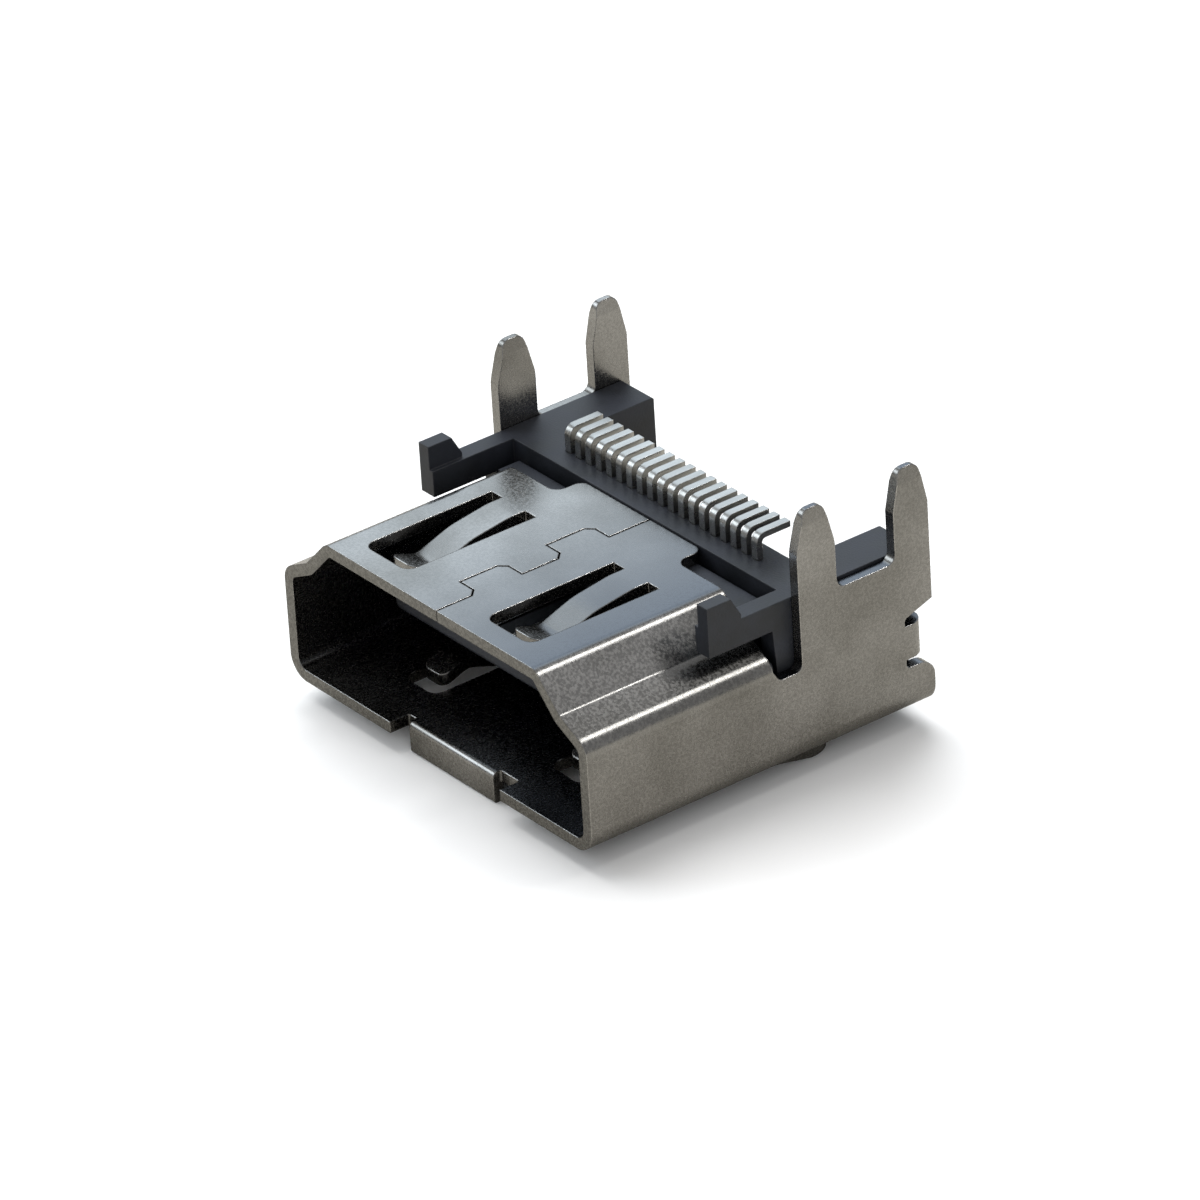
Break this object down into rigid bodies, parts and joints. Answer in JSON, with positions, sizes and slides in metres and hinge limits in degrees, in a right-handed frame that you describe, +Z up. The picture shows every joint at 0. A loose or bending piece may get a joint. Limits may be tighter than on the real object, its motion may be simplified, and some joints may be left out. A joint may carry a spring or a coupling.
{
  "type": "audio-video socket",
  "caption": "Board-mount receptacle: folded steel shell with plug springs and board legs around a plastic tongue with flat contacts, lying with its board side up.",
  "frame": {"origin": "middle of the footprint, at the height of the lowest edge of the lip turned down from the wide wall", "axes": "+X to the right seen from in front of the mouth, +Y from the mouth to the rear, +Z up to the circuit board's side"},
  "size_m": [0.0148, 0.013, 0.009],
  "materials": {
    "plated_sheet": "plated, satin",
    "black_plastic": "moulded, fine texture",
    "contact_metal": "tinned copper alloy"
  },
  "bodies": {
    "root": {"shell": "plated_sheet", "housing": "black_plastic", "tail_block": "black_plastic", "contact_01": "contact_metal", "contact_02": "contact_metal", "contact_03": "contact_metal", "contact_04": "contact_metal", "contact_05": "contact_metal", "contact_06": "contact_metal", "contact_07": "contact_metal", "contact_08": "contact_metal", "contact_09": "contact_metal", "contact_10": "contact_metal", "contact_11": "contact_metal", "contact_12": "contact_metal", "contact_13": "contact_metal", "contact_14": "contact_metal", "contact_15": "contact_metal", "contact_16": "contact_metal", "contact_17": "contact_metal", "contact_18": "contact_metal", "contact_19": "contact_metal"}
  },
  "joints": []
}
